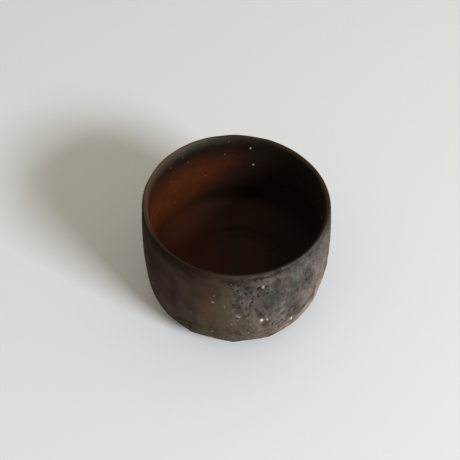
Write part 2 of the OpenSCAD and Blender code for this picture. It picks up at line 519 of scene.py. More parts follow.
def ring_levels(radius, z, hidden, last):
    """How far up the baked picture each ring lies. Rings that nobody sees get a thin strip of it."""
    along = np.hypot(*(np.diff(v.mean(1), append=v[0].mean()) for v in (radius, z)))
    along = np.where(hidden, HIDDEN_SHARE * along, along) + LEAST_RUN
    level = np.concatenate([[0], np.cumsum(along)])
    return level / level[last]


def turned_mesh(name, radius, z, bearing, masks=None, loop=False, hidden=False):
    """A closed mesh from rings of points. Unless it is a loop, its end rings close at the axis."""
    rows, columns = radius.shape
    last = rows if loop else rows - 1
    points = place(bearing, radius, z).reshape(-1, 3)
    masks = {k: v.ravel() for k, v in (masks or {}).items()}
    i, j = np.meshgrid(np.arange(last), np.arange(columns), indexing="ij")
    up = np.stack([i, i, i + 1, i + 1], -1).reshape(-1, 4)
    across = np.stack([j, j + 1, j + 1, j], -1).reshape(-1, 4)
    faces = (up % rows * columns + across % columns).tolist()
    uv = [np.stack([across / columns, ring_levels(radius, z, hidden, last)[up]], -1).reshape(-1, 2)]
    if not loop:
        j = np.arange(columns)
        for end, turns in enumerate(((j + 1, j), (j, j + 1))):
            ring = end * last * columns
            pole = np.full(columns, len(points) + end)
            faces += np.stack([*(ring + turn % columns for turn in turns), pole], -1).tolist()
            fan = np.stack([*turns, j + 0.5], -1).reshape(-1) / columns
            uv.append(np.stack([fan, np.full(len(fan), end)], -1))
        points = np.vstack([points, [[0, 0, z[0].mean()], [0, 0, z[-1].mean()]]])
        masks = {k: np.append(v, [v[:columns].mean(), v[-columns:].mean()]) for k, v in masks.items()}
    return new_mesh(name, points, faces, np.concatenate(uv), masks)


def stations(*knots):
    """Heights or radii from knot to knot: pairs of a value and the step that leads to it."""
    out = [knots[0][0]]
    for value, step in knots[1:]:
        count = max(1, round(abs(value - out[-1]) / step))
        out += list(np.linspace(out[-1], value, count + 1)[1:])
    return np.array(out)


# The clay body


def body_rings():
    """Rings of the clay body, from under its middle, out, up the wall, over the lip and back inside.

    Their radii, their heights, and their heights before the lip's wave is added."""
    b = bearings(BODY_COLUMNS)
    hollow = stations((BODY_POLE_R, 1), (FOOT_TOP_IN_R - SEAT_GAP, 1.1))[:, None]
    seat_r = np.array([FOOT_TOP_IN_R - SEAT_GAP, FOOT_TOP_R + SEAT_GAP])[:, None]
    edge = stations((0, 1), (1, 0.07))[:, None]
    wall = stations((BASE_Z, 1), (BASE_Z + 13, 0.55), (RIM_Z, 0.75))[:, None]
    lip = np.radians(np.linspace(0, 180, LIP_ROWS + 1)[1:-1])[:, None]
    corner = ((CORNER_Z, 8), (FLOOR_Z + 4, 3), (FLOOR_Z + 0.2, 0.8))
    inside = stations((RIM_Z, 1), (RIM_Z - 4, 1), *corner)[:, None]
    floor = stations((FLAT_R, 1), (BODY_POLE_R, 6))[:, None]

    under_p = place(b, hollow, BASE_Z)
    spiral = np.sin(math.tau * (hollow / 3.6 + b / 360))
    hollow_z = BASE_Z + 0.12 * spiral * ramp(hollow, 1, 4) * (1 - ramp(hollow, 18, 21))
    hollow_z = hollow_z + 0.06 * rough(under_p, 3, 2, 31)
    base_edge_r = wall_r(b, np.full((1, 1), BASE_Z))
    edge_r = seat_r[1] + (base_edge_r - seat_r[1]) * edge
    edge_p = place(b, edge_r, BASE_Z)
    tooling = 0.1 * np.sin(math.tau * (edge_r / 2.9 - b / 360)) + 0.08 * rough(edge_p, 3.5, 2, 32)
    edge_z = BASE_Z + tooling * ramp(edge, 0, 0.1) * (1 - ramp(edge, 0.9, 1))
    lip_r = RIM_R - LIP_R + rim_lean(b) + LIP_R * np.cos(lip)
    lip_z = RIM_Z + LIP_R * np.sin(lip)
    sunk = UNDER_SLIP * ramp(RIM_Z - inside, 0, 4)
    inside_r = inner_r(inside) + rim_lean(b) * ramp(inside, CORNER_Z, RIM_Z) + sunk
    radius = [hollow, seat_r, edge_r[:-1], wall_r(b, wall), lip_r, inside_r, floor]
    height = [hollow_z, np.full_like(seat_r, SEAT_Z), edge_z[:-1], wall, lip_z, inside - sunk]
    height.append(np.full_like(floor, FLOOR_Z - UNDER_SLIP))
    r, z = (np.vstack([part * np.ones_like(b) for part in parts]) for parts in (radius, height))
    return r, lifted(b, z), z


# Each stain on the outside: bearing, height, half its width, half its height, strength. The shade patches
# are painted shade under the lip and on the shadowed left wall, and a darker tone elsewhere.
STAINS = {
    "gold": (
        (-15, 51, 8, 20, 0.95), (-13, 79, 8, 6, 0.6), (-10, 38, 9, 18, 0.8), (-75, 40, 14, 20, 0.3),
        (-150, 45, 28, 24, 0.7), (150, 62, 18, 14, 0.5),
    ),
    "olive": (
        (-5, 53, 5, 21, 0.85), (-2, 30, 15, 20, 0.9), (-19, 16, 13, 11, 0.95), (-35, 66, 6, 6, 0.3),
        (-20, 36, 8, 8, 0.7), (-53, 28, 7, 10, 0.3), (10, 24, 12, 16, 0.6), (20, 57, 4, 5, 0.5),
        (-100, 18, 30, 12, 0.6), (175, 25, 30, 18, 0.6), (101, 52, 4, 28, 0.6),
    ),
    "russet": (
        (-32, 58, 6, 9, 0.6), (-22, 49, 6, 12, 0.55), (-17, 68, 6, 7, 0.35), (13, 60, 3, 5, 0.6),
        (9, 51, 4, 4, 0.5), (29, 22, 8, 4, 0.5), (-120, 60, 16, 10, 0.6), (132, 40, 12, 10, 0.6),
    ),
    "mauve": (
        (-34, 36, 8, 11, 0.65), (-46, 24, 9, 12, 0.8), (-40, 28, 6, 6, 0.6), (-48, 56, 6, 6, 0.35),
        (-50, 46, 6, 10, 0.3), (-170, 40, 12, 10, 0.5),
    ),
    "tan": (
        (-16, 13, 5, 4, 0.6), (22, 20, 16, 15, 0.35), (7, 41, 5, 5, 0.3), (-8, 15, 8, 4, 0.15),
        (20, 47, 5, 4, 0.4), (20, 40, 8, 5, 0.5), (40, 16, 16, 13, 0.8), (46, 42, 7, 9, 0.8),
        (62, 45, 12, 20, 1.0), (68, 64, 10, 18, 0.6), (84, 18, 18, 14, 0.8), (110, 12, 25, 8, 0.6),
    ),
    "bone": ((52, 18, 12, 13, 0.75), (66, 27, 12, 15, 0.8), (33, 17, 6, 4, 0.5), (82, 24, 10, 10, 0.6)),
    "lilac": (
        (14, 77, 8, 3, 0.4), (36, 47, 8, 6, 0.6), (8, 56, 8, 8, 0.5), (56, 70, 11, 10, 0.8),
        (26, 34, 9, 5, 0.6), (34, 73, 5, 5, 0.5), (46, 74, 8, 6, 0.6), (128, 60, 14, 12, 0.5),
    ),
    "slate": (
        (23, 62, 10, 12, 1.0), (34, 66, 6, 9, 0.6), (22, 73, 6, 4, 0.7), (31, 49, 5, 4, 0.6),
        (46, 60, 5, 5, 1.0), (5, 73, 6, 4.5, 0.95), (31, 80, 7, 3, 0.5), (36, 83, 4, 2, 0.8),
        (38, 42, 5, 4, 0.6), (43, 70, 6, 4, 0.5), (-1, 78, 4, 3, 0.9), (20, 51, 4, 5, 0.7),
        (-38, 15, 8, 7, 0.5), (92, 62, 9, 10, 0.8), (76, 50, 5, 7, 0.6), (-165, 66, 9, 8, 0.5),
    ),
    # Painted shade under the lip and on the shadowed left wall, and a darker tone elsewhere
    "shade": (
        (-49, 81, 33, 6, 1.0), (-40, 84, 36, 3.6, 1.0), (-20, 81.5, 13, 3.2, 0.65), (0, 80.4, 8, 4.5, 0.78),
        (-27, 82, 8, 3.2, 0.85), (8, 79.5, 7, 3, 0.1), (-7, 80, 6, 3, 0.5), (20, 79, 5, 2.5, 0.3),
        (20, 75, 7, 6, 0.3), (-5, 12, 7, 7, 0.25), (6, 24, 16, 5, 0.18), (45, 9, 8, 4, 0.6),
        (59, 15, 7, 4, 0.4), (46, 16, 6, 3, 0.2), (20, 16, 8, 4, 0.2), (12, 81.4, 20, 1.6, 0.9),
        (25, 82.7, 8, 1.6, 0.9), (57, 80.5, 13, 4, 0.3), (70, 83, 14, 3, 0.6), (-17, 75, 7, 5, 0.24),
        (-7, 25, 8, 7, 0.2), (-30, 73, 9, 5, 0.25), (-15, 66, 8, 7, 0.25), (-40, 64, 7, 7, 0.2),
        (-100, 78, 30, 6, 0.6), (-60, 66, 16, 22, 0.5), (-21, 63, 5, 7, 0.25), (-46, 12, 7, 6, 0.5),
        (-110, 56, 18, 18, 0.5), (170, 78, 40, 4, 0.6), (112, 44, 10, 12, 0.5),
    ),
}
SOFT_STAINS = ("gold", "olive", "russet", "mauve", "slate", "shade")
SOFT_FADE = (0.2, 1.5)
HARD_FADE = (0.5, 1.25)
PEACH_TURN = -134
BACK_TURN = 135
# Each arc of the lip with its own tone: name, bearing, degrees to where it starts to fade and ends,
# and how far above the start of the lip's rounding it begins and is full
LIP_ARCS = (
    ("lip_left", -88, 10, 30, 1.1, 1.5), ("lip_peach", PEACH_TURN, 28, 46, 0.85, 1.25),
    ("lip_back", BACK_TURN, 50, 68, 0.85, 1.25), ("lip_front", 4, 8, 22, 0.85, 1.25),
    ("lip_front", 1, 5, 11, 0.1, 0.8), ("lip_right", 52, 15, 28, -0.3, 0.8),
)


def stain_masks(bearing, z):
    """Where each stain lies on the outside, from 0 to 1, the painted shade among them."""
    p = place(bearing, BELLY_R, z) * RUN_DOWN
    ragged = 0.3 * noise(p, 7, 41) + 0.18 * noise(p, 2.6, 42)
    masks = {}
    for name, patches in STAINS.items():
        total = 0
        fade = SOFT_FADE if name in SOFT_STAINS else HARD_FADE
        for at, height, across, along, strength in patches:
            inside = np.hypot(round_from(bearing, at) / across, (z - height) / along) + ragged
            total = np.maximum(total, strength * (1 - ramp(inside, *fade)))
        masks[name] = total
    return masks


def lip_masks(bearing, z):
    """Where each tone lies on the lip, from 0 to 1."""
    masks = {}
    for name, at, full, gone, low, high in LIP_ARCS:
        tone = arc(bearing, at, full, gone) * ramp(z, RIM_Z + low, RIM_Z + high)
        masks[name] = np.maximum(masks.get(name, 0), tone)
    masks["lip_right"] *= 0.25 + 0.65 * ramp(noise(place(bearing, BELLY_R, z), 2.4, 47), -0.3, 0.4)
    return masks


def wall_masks(bearing, z):
    """Where the stains, ash, pits and tones lie on the outside, each from 0 to 1, with the painted shade
    among them and the height of the ash's lumps for painted light and shade.
    """
    pit, froth = pits(bearing, z)
    fold, burr = creases(bearing, z)
    chip = arch(bearing, CHIP_TURN, 1.6) * hump(z, BASE_Z + 0.6, 1.5)
    calm = 1 - 0.45 * ramp(np.abs(turn_between(bearing, 0)), 22, 50)
    ash = ash_zone(bearing, z)
    masks = stain_masks(bearing, z) | lip_masks(bearing, z)
    masks["olive"] = masks["olive"] * (1 - 0.5 * ash)
    return masks | {
        "ash": ash,
        # Pits, creases, the chip and torn hollows share one dark coat: partly the dark body, partly painted
        # shade in these recesses
        "pit": np.maximum.reduce([pit, fold, chip, bursts(bearing, z)]),
        "froth": froth,
        "burr": burr,
        "cut": ramp(turned_r(z) - facet_r(bearing, z), 0, 0.6),
        # Height of the ash's lumps, for painted light on them and painted shade between them
        "lump_shading": np.clip(0.5 + 0.5 * lumps(bearing, z, calm), 0, 1),
    }


def build_body(material):
    r, z, flat_z = body_rings()
    bearing = bearings(BODY_COLUMNS) * np.ones_like(r)
    hidden = np.arange(len(r)) > np.argmax(flat_z[:, 0]) + LIP_ROWS / 2
    under = ramp(r, FOOT_TOP_R + 6, FACET_R - 1)
    outside = np.where(flat_z > BASE_Z + 0.5, 1, under)
    masks = {name: mask * outside for name, mask in wall_masks(bearing, flat_z).items()}
    mesh = turned_mesh("clay_body", r, z, bearing, masks, hidden=hidden)
    add_piece(mesh, "bowl_body", material)


# The foot ring


def foot_outline():
    """The foot's outline, under from its inner table edge, up outside, over and down inside."""
    outer = [(FOOT_R + out, z) for out, z in FOOT_FLANK]
    inner = [(FOOT_IN_R - out, z) for out, z in FOOT_FLANK]
    return [inner[0], (FOOT_MIDDLE_R, 0.0), *outer, (FOOT_MIDDLE_R, SEAT_Z), *inner[:0:-1]]


def build_foot(material):
    """The luted foot ring, trimmed by hand, with softened table edges."""
    b = bearings(THIN_COLUMNS)
    outline = foot_outline()
    path = []
    for (r, z), (next_r, next_z) in zip(outline, outline[1:] + outline[:1]):
        for i in range(FOOT_STEPS):
            path.append((r + (next_r - r) * i / FOOT_STEPS, z + (next_z - z) * i / FOOT_STEPS))
    r, z = (np.array(v)[:, None] * np.ones_like(b) for v in zip(*path))
    p = place(b, r, z)
    free = ramp(z, 0, 0.8) * (1 - ramp(z, BASE_Z - 0.6, BASE_Z))
    side = np.sign(r - FOOT_MIDDLE_R)
    marks = 0.12 * np.sin(math.tau * (z / 1.7 + b / 90))
    marks = marks + 0.25 * noise(p, 14, 51) + 0.1 * rough(p, 2.2, 3, 52)
    worn = (0.12 * (1 + rough(p, 5, 3, 53))).clip(0, 0.4) * (1 - ramp(z, 0, 1.2))
    r = r + side * free * marks
    mesh = turned_mesh("foot_ring_trimmed", r, z + worn, b * np.ones_like(r), loop=True)
    add_piece(mesh, "foot_ring", material)


# The slip lining


def slip_path():
    """Rings of the clay's inside, from the crest of the lip to the middle of the floor.

    Their radius and height, the way out of the clay as two shares, and the run from the crest."""
    crest = np.radians(np.linspace(CREST_START, 180, CREST_ROWS + 1)[:-1])
    down = stations((RIM_Z, 1), (CORNER_Z, 0.9))
    angle = np.radians(stations((0, 1), (90, 3)))[1:]
    floor = stations((FLAT_R, 1), (SLIP_POLE_R, 0.9))[1:]
    out, up = -np.cos(crest), np.sin(crest)
    stretches = [(RIM_R - LIP_R - LIP_R * out, RIM_Z + LIP_R * up, out, up)]
    stretches.append((inner_r(down), down, np.ones_like(down), np.zeros_like(down)))
    out, up = np.cos(angle), np.sin(angle)
    stretches.append((FLAT_R + CORNER_R * out, CORNER_Z - CORNER_R * up, out, up))
    stretches.append((floor, np.full_like(floor, FLOOR_Z), np.zeros_like(floor), np.ones_like(floor)))
    r, z, out, up = (np.concatenate(parts) for parts in zip(*stretches))
    run = np.concatenate([[0], np.cumsum(np.hypot(np.diff(r), np.diff(z)))])
    return [values[:, None] for values in (r, z, out, up, run)]


def on_floor(z):
    """1 on the floor, 0 above its corner."""
    return 1 - ramp(z, FLOOR_Z + 2, FLOOR_Z + 6)


def wound(bearing, r):
    """Radius along the spiral that the floor's rings follow."""
    return r + FLOOR_SPIRAL * turn_between(bearing, SPIRAL_START) / 360


def slip_thickness(b, r, z, run):
    """Thickness of the lining: next to none at its edge, and faintly ringed by the throwing."""
    p = place(b, r, z)
    wind = wound(b, r)
    floor_rings = 0.22 * hump(wind, RIDGE_R, 3.5) - 0.16 * hump(wind, GROOVE_R, 3)
    floor_rings = (floor_rings - 0.1 * hump(wind, SMALL_GROOVE_R, 2)) * on_floor(z)
    rings = 0.05 * np.sin(math.tau * (run / 7.3 - b / 360)) + floor_rings
    calm = ramp(r, 3, 16) * ramp(run, 8, 20)
    thick = SLIP_T * ramp(run, 0, 3.5) - 0.06 + 0.1 * ramp(run, 0, 0.5)
    return thick + (rings + 0.14 * noise(p, 30, 61)) * calm + 0.02 * rough(p, 3, 2, 62) * ramp(run, 1, 4)


def slip_masks(bearing, r, z, depth):
    """Where the lining changes colour, each from 0 to 1, and its depth in millimetres below the crest. The
    edge of the flashed side follows the rim's cast shadow, so the side beyond it is partly painted shade.
    """
    edge = FLASH_SHADE_TURN + FLASH_SHADE_SLANT * np.clip(depth, 0, 70)
    end = 1 - ramp(turn_between(bearing, FLASH_SHADE_END), 0, FLASH_SHADE_END_WIDTH)
    across = r * np.sin(np.radians(bearing))
    wind = wound(bearing, r)
    flat = on_floor(z) * (0.15 + 0.85 * arch(bearing, 168, 32))
    return {
        "depth": depth,
        # 1 on the flashed side; its edge follows the rim's cast shadow, so the other side is partly painted
        # shade
        "flash_and_shade": ramp(turn_between(bearing, edge), -FLASH_SHADE_SOFT, FLASH_SHADE_SOFT) * end,
        # The left of the floor and corner is redder, partly painted bounce light from the lit wall
        "left": np.minimum(1, 1 - soft_min(1 - (4 - across) / 38, 1, 0.15)),
        "right": np.minimum(1, 1 - soft_min(1 - (across - 8) / 30, 1, 0.15)),
        "bloom": arch(bearing, -145, 34),
        "bare": arch(bearing, -89, 25),
        "thin": arch(bearing, -44, 26),
        "peach": arc(bearing, PEACH_TURN, 28, 48),
        "back": arc(bearing, BACK_TURN, 50, 68),
        # Painted shade in the floor's grooves and painted light on its ridge
        "groove": flat * np.maximum(hump(wind, GROOVE_R, 2.2), 0.8 * hump(wind, SMALL_GROOVE_R, 1.4)),
        "ridge": flat * hump(wind, RIDGE_R, 2.6),
    }


def build_slip(material):
    """The lining: a thin closed skin that thins out over the crest of the lip. Its back has fewer rings."""
    b = bearings(THIN_COLUMNS)
    r, z, out, up, run = slip_path()
    thick = slip_thickness(b, r, z, run)
    lean = rim_lean(b) * ramp(z, CORNER_Z, RIM_Z)
    ones = np.ones_like(b)
    back = np.r_[0, 2, 5, np.arange(CREST_ROWS, len(r), 6), len(r) - 1][::-1]
    back_r, back_z = r + lean + out * SLIP_BACK, (z - up * SLIP_BACK) * ones
    skin_r = np.vstack([back_r[back], r + lean - out * thick])
    skin_z = np.vstack([back_z[back], z + up * thick])
    depth = np.vstack([run[back], run]) * ones
    bearing = b * np.ones_like(skin_r)
    masks = slip_masks(bearing, skin_r, skin_z, depth)
    hidden = np.arange(len(skin_r)) < len(back)
    mesh = turned_mesh("slip_lining", skin_r, lifted(bearing, skin_z), bearing, masks, hidden=hidden)
    add_piece(mesh, "inner_slip", material)


# The ash crust


def crust_relief(bearing, z):
    """Thickness of the ash over the clay."""
    p = place(bearing, BELLY_R, z)
    depth = ash_depth(bearing, z)
    pit, froth = pits(bearing, z)
    rise = 0.26 * lumps(bearing, z) + 0.12 * froth + 0.06 * noise(p, 1.2, 75)
    thick = CRUST_T * ramp(depth, -1, 6) + rise * ramp(depth, -1, 5) - PIT_DEPTH * pit
    return thick - 0.4 * (1 - ramp(depth, -2.5, 0.5))


def shell_faces(keep):
    """Faces of a closed shell over the kept points of a grid, and how many of them are its front."""
    rows, columns = keep.shape
    i, j = np.meshgrid(np.arange(rows - 1), np.arange(columns - 1), indexing="ij")
    shown = keep[:-1, :-1] | keep[1:, :-1] | keep[:-1, 1:] | keep[1:, 1:]
    first = i * columns + j
    front = np.stack([first, first + 1, first + columns + 1, first + columns], -1)[shown]
    edges = np.concatenate([front[:, [k, (k + 1) % 4]] for k in range(4)])
    both = set(map(tuple, edges.tolist()))
    rim = np.array([edge for edge in edges.tolist() if (edge[1], edge[0]) not in both])
    total = rows * columns
    sides = np.stack([rim[:, 1], rim[:, 0], rim[:, 0] + total, rim[:, 1] + total], -1)
    return np.concatenate([front, front[:, ::-1] + total, sides]), len(front)


def build_crust(material):
    """The ash crust: a rough closed shell over the front right of the wall, its edge sunk into the clay."""
    bearing = np.arange(*CRUST_TURNS, math.degrees(CRUST_STEP / BELLY_R))[None, :]
    flat_z = np.arange(BASE_Z + CRUST_LOW, RIM_Z + 0.3, CRUST_STEP)[:, None]
    bearing, flat_z = np.broadcast_arrays(bearing, flat_z)
    thick = crust_relief(bearing, flat_z)
    clay = wall_r(bearing, flat_z)
    z = lifted(bearing, flat_z)
    points = np.concatenate([place(bearing, r, z).reshape(-1, 3) for r in (clay + thick, clay - CRUST_ROOT)])
    faces, fronts = shell_faces((thick > CRUST_LEAST) | (pits(bearing, flat_z)[0] > 0))
    used, renumbered = np.unique(faces, return_inverse=True)
    masks = {name: np.tile(mask.ravel(), 2)[used] for name, mask in wall_masks(bearing, flat_z).items()}
    rows, columns = thick.shape
    spot = np.stack([faces % columns / columns, faces % (rows * columns) // columns / rows], -1)
    spot[fronts:] *= HIDDEN_SHARE
    spot[:fronts, :, 1] = HIDDEN_SHARE + (1 - HIDDEN_SHARE) * spot[:fronts, :, 1]
    faces = renumbered.reshape(-1, 4).tolist()
    mesh = new_mesh("ash_crust_rough", points[used], faces, spot.reshape(-1, 2), masks)
    add_piece(mesh, "ash_crust", material)


# The stones


def pebble(bearing, width, tall, level, seed):
    """Points and faces of one irregular stone that faces a bearing: a ball cut by planes and roughened."""
    bm = bmesh.new()
    bmesh.ops.create_icosphere(bm, subdivisions=level, radius=1)
    points = np.array([v.co for v in bm.verts])
    faces = [[v.index for v in f.verts] for f in bm.faces]
    bm.free()
    draw = np.random.default_rng(seed)
    for _ in range(PEBBLE_CUTS):
        way = draw.normal(size=3)
        way /= np.linalg.norm(way)
        over = np.clip(points @ way - draw.uniform(0.62, 0.92), 0, None)
        points = points - over[:, None] * way
    points *= 1 + 0.1 * rough(points + 10 * seed, 0.6, 2, seed)[:, None]
    lean = draw.uniform(-0.4, 0.4)
    side = points[:, 0] * width / 2
    up = points[:, 2] * tall / 2 + lean * side
    out = points[:, 1] * min(width, tall) / 2
    a = math.radians(bearing)
    across = np.array([math.cos(a), math.sin(a), 0])
    return side[:, None] * across + out[:, None] * place(bearing, 1, 0) + up[:, None] * (1 - LEVEL), faces


def build_stones(name, node, places, slipped, material):
    """Many stones as one mesh, slipped or bare.

    Each place is a bearing, a centre, a width, a height, a fineness and a paleness."""
    points, faces, pale = [], [], []
    count = 0
    for k, (bearing, centre, width, tall, level, paleness) in enumerate(places):
        own, own_faces = pebble(bearing, width, tall, level, k + 1)
        points.append(own + centre)
        faces += [[v + count for v in f] for f in own_faces]
        pale.append(np.full(len(own), paleness))
        count += len(own)
    masks = {"pale": np.concatenate(pale), "slipped": np.full(count, slipped)}
    mesh = new_mesh(name, np.vstack(points), faces, masks=masks)
    add_piece(mesh, node, material)


def on_wall(bearing, z, proud):
    """A point just off the wall, over the ash where there is any."""
    b, h = np.array([[float(bearing)]]), np.array([[float(z)]])
    ash = max(0, crust_relief(b, h).item())
    return place(b, wall_r(b, h) + ash + proud, lifted(b, h)).reshape(3)


def on_lining(bearing, z, proud):
    """A point just off the lining."""
    r = inner_r(z) - SLIP_T - proud + rim_lean(bearing) * ramp(z, CORNER_Z, RIM_Z)
    return place(bearing, r, lifted(bearing, z)).reshape(3)


def drawn(seed, count, *spans):
    """Rows of fixed random values, one from each span."""
    draw = np.random.default_rng(seed)
    return [[draw.uniform(*span) for span in spans] for _ in range(count)]


def wall_stone_places():
    """The stones that the solid has, sunk a little past their middle, grit, and specks over the ash."""
    out = []
    large = [(at, BASE_Z + share * (RIM_Z - BASE_Z), *rest) for at, share, *rest in WALL_STONES]
    for bearing, z, width, tall, pale in (*large, *WALL_GRIT):
        centre = on_wall(bearing, z, -0.1 * min(width, tall))
        out.append((bearing, centre, width, tall, STONE_FINENESS, pale))
    spans = (ASH_LEFT, ASH_RIGHT), (BASE_Z + 12, RIM_Z - 3), (0.6, 1.2), (0, 1)
    for bearing, z, size, pale in drawn(17, WALL_SPECKS, *spans):
        centre = on_wall(bearing, z, -0.1 * size)
        out.append((bearing, centre, size, size, SPECK_FINENESS, 0.5 * pale**2))
    return out


def lining_stone_places():
    """The stones that the solid has, some grit, and a few specks more."""
    out = []
    large = [(at, CORNER_Z + share * (RIM_Z - CORNER_Z), *rest) for at, share, *rest in LINING_STONES]
    for bearing, z, size, pale in (*large, *LINING_GRIT):
        centre = on_lining(bearing, z, -0.15 * size)
        out.append((bearing, centre, size, 1.1 * size, STONE_FINENESS, pale))
    spans = (CORNER_Z, RIM_Z - 3), (-180, 180), (0.4, 0.8), (0, 1)
    for z, bearing, size, pale in drawn(23, LINING_SPECKS, *spans):
        centre = on_lining(bearing, z, -0.1)
        out.append((bearing, centre, size, size, SPECK_FINENESS, 0.06 * pale))
    return out


# Materials

# Where most values of a noise lie, and the narrower span over which one colour drifts into another
NOISE_SPAN = (0.3, 0.7)
DRIFT_SPAN = (0.35, 0.65)
STREAK_SHARES = (1.0, 1.0, 0.12)
CRUMB_SOFTNESS = 0.35
WHITE = (1.0, 1.0, 1.0)


class Nodes:
    """The nodes of a material or a world, made one call at a time."""

    def __init__(self, owner):
        owner.use_nodes = True
        self.tree = owner.node_tree

    def add(self, kind, inputs=None, **settings):
        made = self.tree.nodes.new(kind)
        for key, value in settings.items():
            setattr(made, key, value)
        for key, value in (inputs or {}).items():
            self.put(made.inputs[key], value)
        return made

    def put(self, socket, value):
        if isinstance(value, bpy.types.NodeSocket):
            self.tree.links.new(value, socket)
        elif socket.type == "RGBA":
            socket.default_value = (*value, 1)
        else:
            socket.default_value = value


class Shader(Nodes):
    """The nodes of a material. Sizes are in millimetres."""

    def __init__(self, name):
        self.material = bpy.data.materials.new(name)
        super().__init__(self.material)
        self.surface = self.tree.nodes["Principled BSDF"]
        self.where = self.add("ShaderNodeTexCoord").outputs["Object"]

    def mask(self, name):
        return self.add("ShaderNodeAttribute", attribute_name=name).outputs["Fac"]

    def stretched(self, shares):
        """Places that draw a pattern out along the axes with small shares."""
        return self.add("ShaderNodeVectorMath", {0: self.where, 1: shares}, operation="MULTIPLY").outputs[0]

    def texture(self, kind, size, inputs=None, **settings):
        """A pattern with lumps of about this size."""
        inputs = {"Vector": self.where, "Scale": 1 / (size * MM), **(inputs or {})}
        return self.add(kind, inputs, **settings)

    def grain(self, size, detail=4.0, rough=0.6):
        """Noise from 0 to 1."""
        inputs = {"Detail": detail, "Roughness": rough}
        return self.texture("ShaderNodeTexNoise", size, inputs).outputs["Fac"]

    def streaks(self, size):
        """Noise from 0 to 1 drawn out upwards, about this wide."""
        inputs = {"Vector": self.stretched(STREAK_SHARES)}
        return self.texture("ShaderNodeTexNoise", size, inputs).outputs["Fac"]

    def spots(self, size):
        """Distance to scattered points about this far apart, as a share of that."""
        return self.texture("ShaderNodeTexVoronoi", size).outputs["Distance"]

    def crumbs(self, size):
        """A fixed number from 0 to 1 for each of many crumbs about this wide."""
        inputs = {"Smoothness": CRUMB_SOFTNESS}
        made = self.texture("ShaderNodeTexVoronoi", size, inputs, feature="SMOOTH_F1")
        return self.add("ShaderNodeSeparateColor", {"Color": made.outputs["Color"]}).outputs["Red"]

    def tinted(self, size, low, high):
        """Colour near white that drifts from hue to hue, each channel between low and high."""
        made = self.texture("ShaderNodeTexNoise", size)
        spread = self.add("ShaderNodeMapRange", {"Vector": made.outputs["Color"]}, data_type="FLOAT_VECTOR")
        values = dict(zip(("From Min", "From Max", "To Min", "To Max"), (*NOISE_SPAN, low, high)))
        for socket in spread.inputs:
            if socket.type == "VECTOR" and socket.name in values:
                socket.default_value = [values[socket.name]] * 3
        return spread.outputs["Vector"]

    def between(self, value, low, high, to_low=0.0, to_high=1.0):
        inputs = {"Value": value, "From Min": low, "From Max": high, "To Min": to_low, "To Max": to_high}
        return self.add("ShaderNodeMapRange", inputs).outputs["Result"]

    def spread(self, low, high, size, detail=4.0, rough=0.6):
        """Noise from low to high."""
        return self.between(self.grain(size, detail, rough), *NOISE_SPAN, low, high)

    def plus(self, a, b):
        return self.add("ShaderNodeMath", {0: a, 1: b}, operation="ADD").outputs[0]

    def times(self, a, b):
        return self.add("ShaderNodeMath", {0: a, 1: b}, operation="MULTIPLY").outputs[0]

    def mix(self, share, a, b, blend="MIX"):
        inputs = {"Factor": share, 6: a, 7: b}
        return self.add("ShaderNodeMix", inputs, data_type="RGBA", blend_type=blend).outputs[2]

    def drift(self, size, a, b, detail=4.0):
        """One colour that drifts into another in patches."""
        return self.mix(self.between(self.grain(size, detail), *DRIFT_SPAN), a, b)

    def coat(self, colour, mask, tone, share):
        """A colour with a share of a tone over it where a mask says so."""
        return self.mix(self.times(self.mask(mask), share), colour, tone)

    def grey(self, value):
        """A grey of this brightness."""
        return self.add("ShaderNodeCombineColor", {0: value, 1: value, 2: value}).outputs["Color"]

    def finish(self, colour, roughness, specular, height=None, depth=0.0):
        """The finished material, with bumps of this depth where it has a height."""
        self.put(self.surface.inputs["Base Color"], colour)
        self.put(self.surface.inputs["Roughness"], roughness)
        self.surface.inputs["Specular IOR Level"].default_value = specular
        if height is not None:
            bump = self.add("ShaderNodeBump", {"Height": height, "Distance": depth * MM})
            self.put(self.surface.inputs["Normal"], bump.outputs["Normal"])
        return self.material


CLAY = (0.0446, 0.0299, 0.0202)
CLAY_DARK = (0.0314, 0.0217, 0.0147)
# Dark clay for the painted shade and for the knife's scrapes
CLAY_SHADE_AND_SCRAPE = (0.0105, 0.0075, 0.004)
ASH = (0.083, 0.069, 0.053)
ASH_PALE = (0.14, 0.119, 0.096)
ASH_DARK = (0.038, 0.0305, 0.0235)
STAIN_COLOURS = {
    "gold": (0.0731, 0.0475, 0.0271),
    "olive": (0.077, 0.0655, 0.0418),
    "russet": (0.0712, 0.0389, 0.0266),
    "mauve": (0.0712, 0.0503, 0.0437),
    "tan": (0.17, 0.131, 0.097),
    "bone": (0.3, 0.243, 0.193),
    "lilac": (0.115, 0.095, 0.092),
    "slate": (0.0374, 0.0374, 0.0341),
}
# What lies over the stains: mask, colour, share. The shade coat is painted shade; the pit coat darkens pits,
# creases, the chip and torn hollows, partly as the dark body and partly as painted shade in these recesses.
WALL_COATS = (
    ("froth", (0.14, 0.12, 0.097), 0.65),
    ("burr", (0.06, 0.056, 0.044), 0.8),
    ("shade", CLAY_SHADE_AND_SCRAPE, 0.92),
    ("pit", (0.017, 0.0127, 0.009), 0.88),
)
LIP_TONES = {
    "lip_left": (0.07, 0.045, 0.024),
    "lip_peach": (0.118, 0.066, 0.038),
    "lip_back": (0.034, 0.0185, 0.009),
    "lip_front": (0.045, 0.031, 0.0195),
    "lip_right": (0.058, 0.051, 0.043),
}


